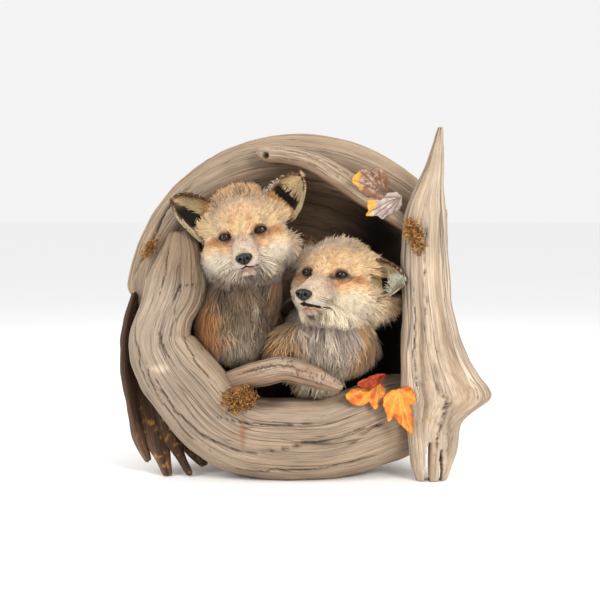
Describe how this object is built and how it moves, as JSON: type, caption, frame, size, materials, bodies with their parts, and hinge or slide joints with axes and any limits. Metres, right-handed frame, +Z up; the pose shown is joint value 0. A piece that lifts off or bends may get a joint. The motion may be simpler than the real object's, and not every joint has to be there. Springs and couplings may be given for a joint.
{
  "type": "taxidermy fox mount in driftwood",
  "caption": "Two taxidermy red fox busts looking out of a hollow driftwood ring with an upright post, moss and autumn leaves.",
  "frame": {"origin": "middle of the mount's footprint, on the surface that it stands on", "axes": "+Z up, -Y out of the front where the foxes look, +X to the viewer's right"},
  "size_m": [0.4843, 0.281, 0.452],
  "materials": {
    "driftwood": "weathered silver-tan wood with grain, cracks and dark knots",
    "rotten_wood": "dark red-brown splintered wood",
    "fox_coat": "long soft fur, cream and orange with white cheeks and a grey bib",
    "ear_skin": "dry dark ear skin with short tan hair",
    "eye_glass": "brown glass eye with a dark pupil",
    "nose_leather": "black pebbled nose, slightly glossy",
    "faded_leaf": "dry faded leaf with yellow edges",
    "autumn_leaf": "orange to red maple leaf with pale veins",
    "moss": "dry curly orange-brown moss"
  },
  "bodies": {
    "root": {"fox_left_chest": "fox_coat", "fox_left_ear_left": "ear_skin", "fox_left_ear_right": "ear_skin", "fox_left_eye_left": "eye_glass", "fox_left_eye_right": "eye_glass", "fox_left_head": "fox_coat", "fox_left_neck": "fox_coat", "fox_left_nose": "nose_leather", "fox_right": "fox_coat", "fox_right_eye_left": "eye_glass", "fox_right_eye_right": "eye_glass", "front_branch": "driftwood", "leaf_low_left": "autumn_leaf", "leaf_low_red": "autumn_leaf", "leaf_low_right": "autumn_leaf", "leaf_top_back": "faded_leaf", "leaf_top_front": "faded_leaf", "moss_post": "moss", "moss_ring": "moss", "moss_shell": "moss", "post": "driftwood", "ring_log": "driftwood", "splinter_fourth": "rotten_wood", "splinter_outer": "rotten_wood", "splinter_plate": "rotten_wood", "splinter_third": "rotten_wood", "trunk_shell": "driftwood", "upper_branch": "driftwood"}
  },
  "joints": []
}
